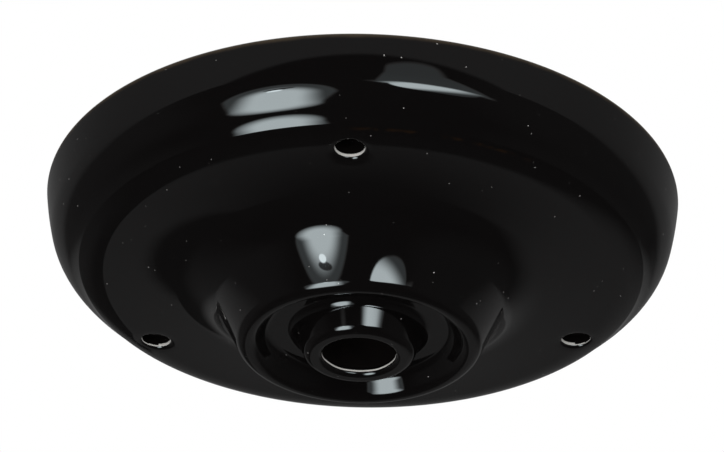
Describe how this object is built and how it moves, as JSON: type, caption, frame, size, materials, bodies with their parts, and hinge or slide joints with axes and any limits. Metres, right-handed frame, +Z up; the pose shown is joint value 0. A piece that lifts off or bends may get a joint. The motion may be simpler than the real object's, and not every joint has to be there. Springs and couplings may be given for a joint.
{
  "type": "electrical ceiling rose",
  "caption": "Round one-piece porcelain ceiling rose with an ogee rim, a bell-shaped cord outlet, ceiling screw holes, and a cord clamp and terminal block behind it.",
  "frame": {"origin": "centre of the mounting plane on the ceiling, which is the plane of the bare foot ring", "axes": "+Z up into the ceiling, the cord outlet hangs towards -Z; one ceiling screw lies towards -Y and the terminal block is on that side of the bore"},
  "size_m": [0.105, 0.105, 0.0292],
  "materials": {
    "glazed_porcelain": "black gloss glaze with fine pinholes, pale bare foot",
    "steatite": "fired unglazed steatite",
    "brass": "turned, bright",
    "plated_steel": "zinc plated"
  },
  "bodies": {
    "root": {"rose_body": "glazed_porcelain", "terminal_block": "steatite", "clamp_bar": "plated_steel", "terminal_barrel_1": "brass", "terminal_barrel_2": "brass", "terminal_barrel_3": "brass", "wire_screw_1": "plated_steel", "wire_screw_2": "plated_steel", "wire_screw_3": "plated_steel", "wire_screw_4": "plated_steel", "wire_screw_5": "plated_steel", "wire_screw_6": "plated_steel", "block_screw_1": "brass", "block_screw_2": "brass", "block_insert_1": "brass", "block_insert_2": "brass", "clamp_screw_1": "plated_steel", "clamp_screw_2": "plated_steel", "clamp_insert_1": "brass", "clamp_insert_2": "brass"}
  },
  "joints": []
}
